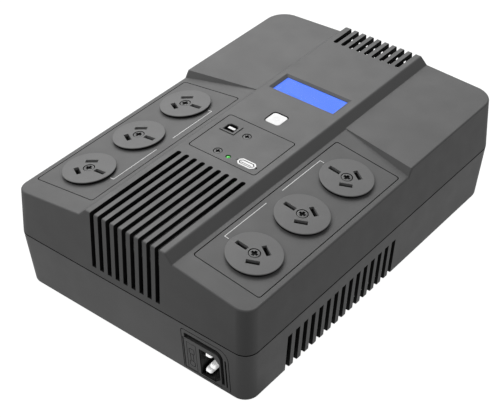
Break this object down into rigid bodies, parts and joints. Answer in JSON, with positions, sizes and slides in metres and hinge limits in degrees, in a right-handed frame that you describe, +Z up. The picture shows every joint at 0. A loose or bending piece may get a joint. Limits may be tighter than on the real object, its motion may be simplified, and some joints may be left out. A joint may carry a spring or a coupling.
{
  "type": "uninterruptible power supply",
  "caption": "Low desktop uninterruptible power supply: tilted banks of three-pin outlets beside a raised spine with display, button, ports and vents, and a mains inlet in front.",
  "frame": {"origin": "on the table plane, under the centre of the body", "axes": "+X to the right and +Y to the rear when facing the mains inlet, +Z up"},
  "size_m": [0.2052, 0.297, 0.0956],
  "materials": {
    "shell_plastic": "fine moulded texture, dark grey",
    "base_plastic": "fine moulded texture, dark grey",
    "panel_plastic": "fine moulded texture, dark grey",
    "outlet_plastic": "smooth satin, mid grey",
    "screw_steel": "zinc-plated",
    "window_clear": "clear and smooth",
    "display_blue": "lit blue",
    "button_white": "satin white",
    "port_black": "black",
    "port_white": "white",
    "light_green": "translucent green",
    "inlet_black": "moulded, near black",
    "pin_nickel": "nickel-plated",
    "fuse_glass": "glass tube with metal ends",
    "board_green": "solder mask",
    "core_steel": "varnished laminations",
    "coil_copper": "enamelled wire",
    "fin_aluminium": "extruded",
    "relay_blue": "moulded",
    "capacitor_sleeve": "shrink sleeve",
    "battery_case": "moulded, black",
    "terminal_brass": "plain",
    "lead_red": "insulated wire",
    "lead_black": "insulated wire",
    "strip_brass": "plain",
    "foot_rubber": "matte"
  },
  "bodies": {
    "case": {"battery": "battery_case", "battery_lead_black": "lead_black", "battery_lead_red": "lead_red", "battery_terminal_negative": "terminal_brass", "battery_terminal_positive": "terminal_brass", "capacitor": "capacitor_sleeve", "case_screw_front_left": "screw_steel", "case_screw_front_right": "screw_steel", "case_screw_rear_left": "screw_steel", "case_screw_rear_right": "screw_steel", "display_module": "display_blue", "display_window": "window_clear", "earth_pin": "pin_nickel", "earth_strip_left": "strip_brass", "earth_strip_right": "strip_brass", "foot_front_left": "foot_rubber", "foot_front_right": "foot_rubber", "foot_rear_left": "foot_rubber", "foot_rear_right": "foot_rubber", "heatsink": "fin_aluminium", "interface_board": "board_green", "interface_panel": "panel_plastic", "interface_screw_front": "screw_steel", "interface_screw_rear": "screw_steel", "line_pin": "pin_nickel", "line_strip_left": "strip_brass", "line_strip_right": "strip_brass", "lower_shell": "base_plastic", "main_board": "board_green", "mains_inlet": "inlet_black", "neutral_pin": "pin_nickel", "neutral_strip_left": "strip_brass", "neutral_strip_right": "strip_brass", "outlet_face_left_front": "outlet_plastic", "outlet_face_left_middle": "outlet_plastic", "outlet_face_left_rear": "outlet_plastic", "outlet_face_right_front": "outlet_plastic", "outlet_face_right_middle": "outlet_plastic", "outlet_face_right_rear": "outlet_plastic", "outlet_panel_left": "panel_plastic", "outlet_panel_right": "panel_plastic", "outlet_screw_left_front": "screw_steel", "outlet_screw_left_middle": "screw_steel", "outlet_screw_left_rear": "screw_steel", "outlet_screw_right_front": "screw_steel", "outlet_screw_right_middle": "screw_steel", "outlet_screw_right_rear": "screw_steel", "power_switch": "inlet_black", "relay": "relay_blue", "status_light": "light_green", "transformer_coil": "coil_copper", "transformer_core": "core_steel", "upper_shell": "shell_plastic", "usb_charger_port": "port_white", "usb_data_port": "port_black"},
    "button": {"power_button": "button_white", "switch_plunger": "port_black"},
    "fuse_carrier": {"fuse_drawer": "inlet_black", "fuse": "fuse_glass"},
    "door": {"battery_door": "base_plastic"}
  },
  "joints": [
    {"name": "power_button_press", "type": "slide", "parent": "case", "child": "button", "axis": [0, 0, -1], "range_m": [0, 0.0012]},
    {"name": "fuse_drawer_pull", "type": "slide", "parent": "case", "child": "fuse_carrier", "axis": [0, -1, 0], "range_m": [0, 0.024]},
    {"name": "battery_door_lift", "type": "slide", "parent": "case", "child": "door", "axis": [0, 0, -1], "range_m": [0, 0.02]}
  ]
}
